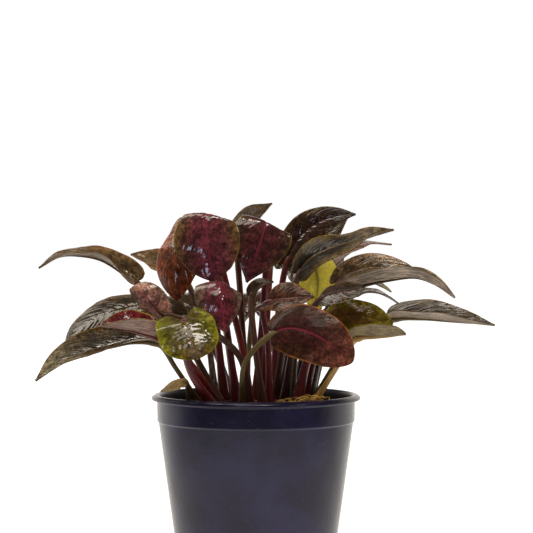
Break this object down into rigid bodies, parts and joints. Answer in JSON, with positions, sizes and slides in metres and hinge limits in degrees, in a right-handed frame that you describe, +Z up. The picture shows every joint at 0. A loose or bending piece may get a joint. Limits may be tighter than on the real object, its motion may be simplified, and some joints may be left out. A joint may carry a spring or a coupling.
{
  "type": "lagenandra plant in a nursery pot",
  "caption": "Potted lagenandra: olive to crimson ovate leaves on arching stalks rising from creeping rhizomes in a round dark plastic nursery pot.",
  "frame": {"origin": "centre of the pot's flat underside", "axes": "+Z up along the pot's axis; +X to the right as seen in the picture, along the plant's widest spread; the picture looks along +Y"},
  "size_m": [0.119, 0.0913, 0.1005],
  "materials": {
    "leaf_olive": "olive green to brown leaf, wet gloss, crimson underside, crimson stalk",
    "leaf_crimson": "crimson to purple leaf with a pink midrib and a thin green-gold margin, wet gloss",
    "leaf_brown": "red-brown leaf, satin",
    "leaf_mauve": "pinkish grey leaf with a crimson midrib, wet gloss",
    "leaf_green": "olive green leaf, wet gloss",
    "leaf_lime": "young yellow-green leaf, satin",
    "rhizome": "dark red-brown, matte, fibrous",
    "growing_medium": "dark, matte, crumbly fibre",
    "moss": "olive yellow, matte, fibrous",
    "pot_plastic": "dark navy blue, satin, smooth moulded"
  },
  "bodies": {
    "root": {"growing_medium": "growing_medium", "leaf_back_centre_high": "leaf_olive", "leaf_back_centre_low": "leaf_olive", "leaf_back_centre_short": "leaf_olive", "leaf_back_far_left": "leaf_olive", "leaf_back_far_right": "leaf_olive", "leaf_back_left_high": "leaf_olive", "leaf_back_left_low": "leaf_olive", "leaf_back_right_high": "leaf_olive", "leaf_back_right_low": "leaf_olive", "leaf_brown_folded": "leaf_brown", "leaf_centre_folded": "leaf_crimson", "leaf_crimson_left": "leaf_crimson", "leaf_crimson_right": "leaf_crimson", "leaf_far_right": "leaf_olive", "leaf_front_crimson": "leaf_crimson", "leaf_front_green": "leaf_green", "leaf_left_arching": "leaf_olive", "leaf_left_broad": "leaf_olive", "leaf_left_hanging": "leaf_brown", "leaf_left_low": "leaf_olive", "leaf_left_mauve": "leaf_mauve", "leaf_left_red_margin": "leaf_mauve", "leaf_left_upper_back": "leaf_olive", "leaf_lime_behind": "leaf_lime", "leaf_old_at_rim": "leaf_brown", "leaf_right_dark_back": "leaf_olive", "leaf_right_long": "leaf_olive", "leaf_right_long_upper": "leaf_olive", "leaf_right_olive": "leaf_green", "leaf_right_pale_back": "leaf_olive", "leaf_right_round": "leaf_olive", "leaf_right_silver": "leaf_mauve", "leaf_right_sliver_back": "leaf_olive", "leaf_right_top": "leaf_olive", "leaf_right_top_back": "leaf_olive", "leaf_right_upper": "leaf_olive", "leaf_top_back": "leaf_olive", "leaf_young_hooked": "leaf_brown", "moss_tuft": "moss", "pot": "pot_plastic", "rhizome_back_left": "rhizome", "rhizome_back_right": "rhizome", "rhizome_centre": "rhizome", "rhizome_left": "rhizome", "rhizome_right": "rhizome"}
  },
  "joints": []
}
